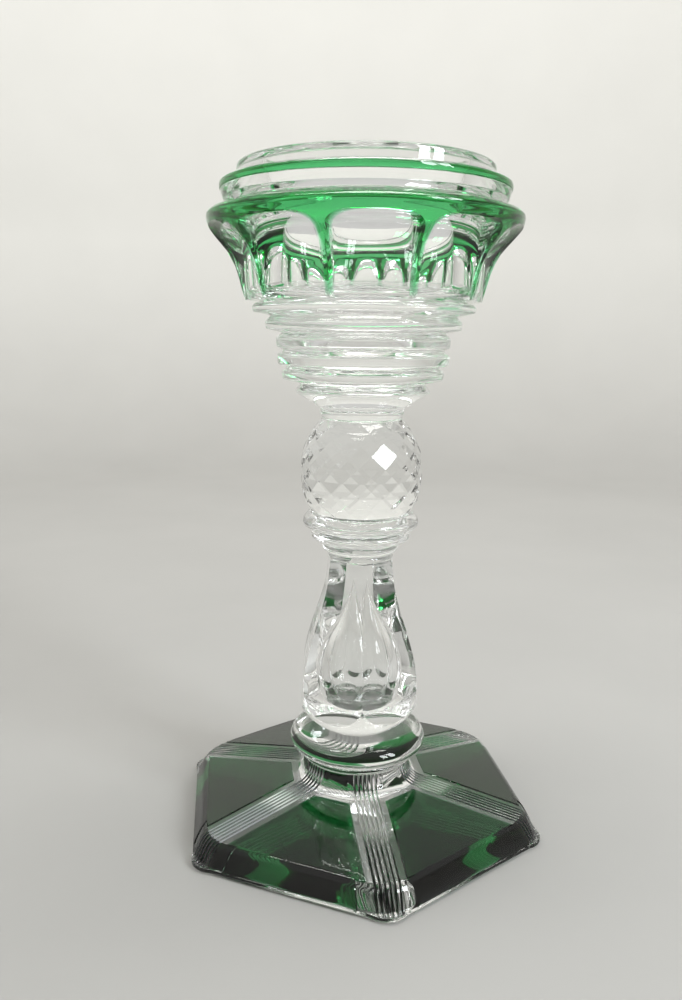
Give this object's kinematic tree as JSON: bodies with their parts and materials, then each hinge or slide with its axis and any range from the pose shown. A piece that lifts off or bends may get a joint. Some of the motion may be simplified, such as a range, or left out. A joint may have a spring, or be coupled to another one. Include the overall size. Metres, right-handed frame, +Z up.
{
  "type": "candlestick",
  "caption": "Cut-glass candlestick: six-sided clear foot with green panels, panel-cut baluster, faceted knop, stepped collar and fluted cup with a green lip.",
  "frame": {"origin": "centre of the flat underside of the foot, on the vertical axis of the stem", "axes": "+Z up along the stem axis; -Y towards one corner of the six-sided foot; +X completes the right-handed frame, towards the middle of a flat side"},
  "size_m": [0.1172, 0.1332, 0.22],
  "materials": {
    "foot_crystal_body": "clear polished lead crystal, cut and polished",
    "foot_neck_ring": "clear polished lead crystal, cut and polished",
    "foot_merese_disc": "clear polished lead crystal, cut and polished",
    "panel_cut_baluster": "clear polished lead crystal, cut and polished",
    "stem_top_wafer": "clear polished lead crystal, cut and polished",
    "small_collar_ring": "clear polished lead crystal, cut and polished",
    "middle_collar_ring": "clear polished lead crystal, cut and polished",
    "wide_collar_ring": "clear polished lead crystal, cut and polished",
    "diamond_cut_knop": "clear polished lead crystal, cut and polished",
    "knop_neck_wafer": "clear polished lead crystal, cut and polished",
    "stepped_bowl_base": "clear polished lead crystal, cut and polished",
    "bowl_crystal_body": "clear polished lead crystal, cut and polished",
    "foot_green_panel_1": "dark bottle-green overlay glass, polished",
    "foot_green_panel_2": "dark bottle-green overlay glass, polished",
    "foot_green_panel_3": "dark bottle-green overlay glass, polished",
    "foot_green_panel_4": "dark bottle-green overlay glass, polished",
    "foot_green_panel_5": "dark bottle-green overlay glass, polished",
    "foot_green_panel_6": "dark bottle-green overlay glass, polished",
    "bowl_green_lip": "bright emerald overlay glass, polished",
    "bowl_green_band": "bright emerald overlay glass, polished"
  },
  "bodies": {
    "root": {"foot_crystal_body": "foot_crystal_body", "foot_neck_ring": "foot_neck_ring", "foot_merese_disc": "foot_merese_disc", "panel_cut_baluster": "panel_cut_baluster", "stem_top_wafer": "stem_top_wafer", "small_collar_ring": "small_collar_ring", "middle_collar_ring": "middle_collar_ring", "wide_collar_ring": "wide_collar_ring", "diamond_cut_knop": "diamond_cut_knop", "knop_neck_wafer": "knop_neck_wafer", "stepped_bowl_base": "stepped_bowl_base", "bowl_crystal_body": "bowl_crystal_body", "foot_green_panel_1": "foot_green_panel_1", "foot_green_panel_2": "foot_green_panel_2", "foot_green_panel_3": "foot_green_panel_3", "foot_green_panel_4": "foot_green_panel_4", "foot_green_panel_5": "foot_green_panel_5", "foot_green_panel_6": "foot_green_panel_6", "bowl_green_lip": "bowl_green_lip", "bowl_green_band": "bowl_green_band"}
  },
  "joints": []
}
